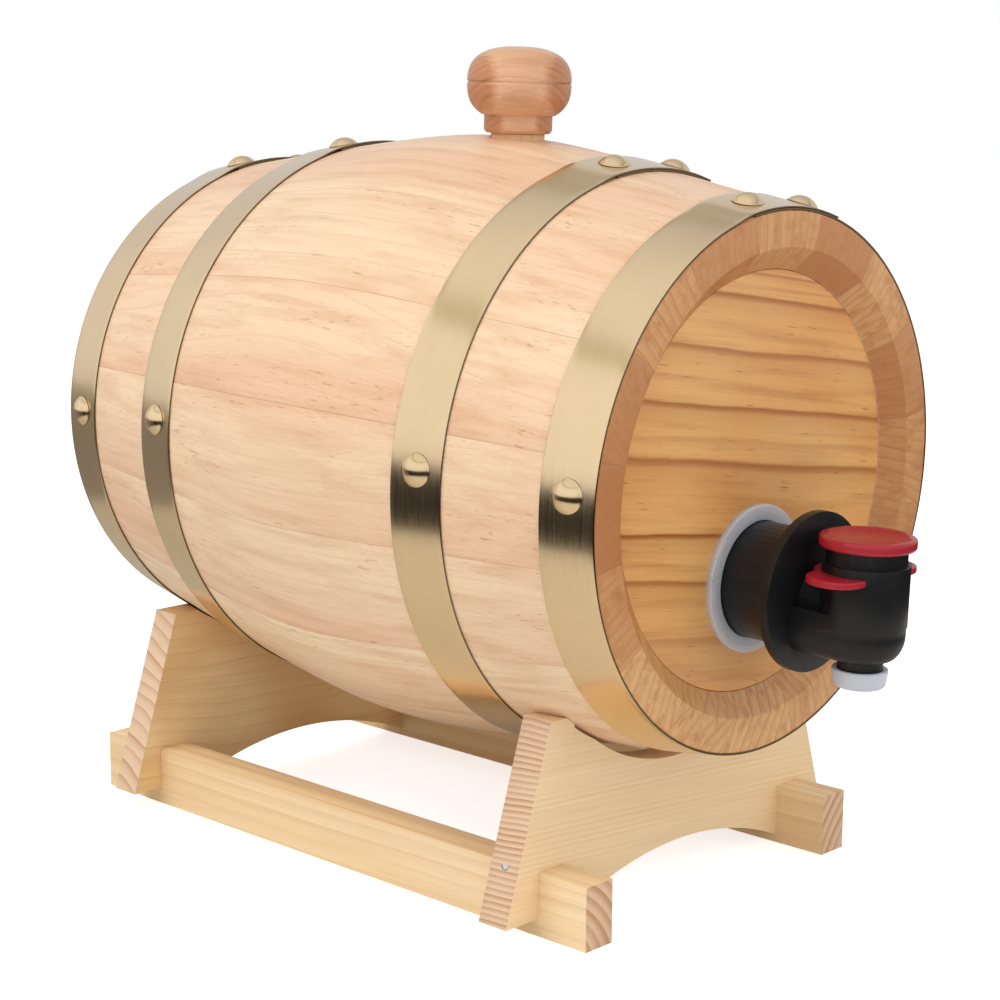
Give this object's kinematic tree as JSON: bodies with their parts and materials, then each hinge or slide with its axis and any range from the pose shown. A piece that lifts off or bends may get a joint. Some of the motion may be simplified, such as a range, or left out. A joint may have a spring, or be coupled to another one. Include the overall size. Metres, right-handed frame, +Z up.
{
  "type": "cask drink dispenser",
  "caption": "Small coopered wooden cask on a cradle stand, with a hooped body, a turned stopper on top and a push-button tap in its front head.",
  "frame": {"origin": "on the table, under the middle of the stand", "axes": "+X to the right of a person who faces the tap, -Y towards that person, +Z up"},
  "size_m": [0.1758, 0.2627, 0.2355],
  "materials": {
    "stave_pine": "planed and lacquered softwood",
    "head_pine": "planed and lacquered softwood, golden",
    "stand_pine": "sawn and sanded softwood",
    "turned_wood": "turned and lacquered",
    "plug_pine": "turned, bare",
    "hoop_brass": "rolled strip, satin to polished",
    "rivet_brass": "polished",
    "nail_steel": "bright wire",
    "spring_steel": "bright wire",
    "black_plastic": "moulded, satin",
    "red_plastic": "moulded, satin",
    "clear_plastic": "moulded, translucent",
    "bag_film": "thin laminated film",
    "seal_rubber": "moulded"
  },
  "bodies": {
    "stand": {"front_cradle_board": "stand_pine", "rear_cradle_board": "stand_pine", "left_rail": "stand_pine", "right_rail": "stand_pine", "stand_nails": "nail_steel"},
    "cask": {"stave_01": "stave_pine", "stave_02": "stave_pine", "stave_03": "stave_pine", "stave_04": "stave_pine", "stave_05": "stave_pine", "stave_06": "stave_pine", "stave_07": "stave_pine", "stave_08": "stave_pine", "stave_09": "stave_pine", "stave_10": "stave_pine", "stave_11": "stave_pine", "stave_12": "stave_pine", "stave_13": "stave_pine", "stave_14": "stave_pine", "stave_15": "stave_pine", "stave_16": "stave_pine", "front_chime_hoop": "hoop_brass", "front_bilge_hoop": "hoop_brass", "rear_bilge_hoop": "hoop_brass", "rear_chime_hoop": "hoop_brass", "front_chime_hoop_rivets": "rivet_brass", "front_bilge_hoop_rivets": "rivet_brass", "rear_bilge_hoop_rivets": "rivet_brass", "rear_chime_hoop_rivets": "rivet_brass", "front_head": "head_pine", "rear_head": "head_pine", "gland_ring": "clear_plastic", "bag_gland": "clear_plastic", "liner_bag": "bag_film"},
    "stopper": {"stopper_knob": "turned_wood", "stopper_plug": "plug_pine", "stopper_seal": "seal_rubber"},
    "tap": {"tap_body": "black_plastic", "shank_seal": "seal_rubber", "finger_grips": "red_plastic", "stem_seal": "seal_rubber", "return_spring": "spring_steel"},
    "button": {"button_cap": "red_plastic", "valve_plunger": "black_plastic", "valve_seal": "seal_rubber"},
    "dust_cap": {"dust_cap": "clear_plastic"}
  },
  "joints": [
    {"name": "cask_lift", "type": "slide", "parent": "stand", "child": "cask", "axis": [0, 0, 1], "range_m": [0, 0.12]},
    {"name": "stopper_pull", "type": "slide", "parent": "cask", "child": "stopper", "axis": [0, -0.0332, 0.9995], "range_m": [0, 0.03]},
    {"name": "tap_turn", "type": "hinge", "parent": "cask", "child": "tap", "pos_m": [0, -0.11597, 0.09266], "axis": [0, -0.9995, -0.0332], "range_deg": [-90, 90]},
    {"name": "button_press", "type": "slide", "parent": "tap", "child": "button", "axis": [0, 0.0332, -0.9995], "range_m": [0, 0.004], "stiffness_N_per_m": 2000, "deforming": ["return_spring"]},
    {"name": "dust_cap_pull", "type": "slide", "parent": "tap", "child": "dust_cap", "axis": [0, 0.0332, -0.9995], "range_m": [0, 0.02]}
  ]
}
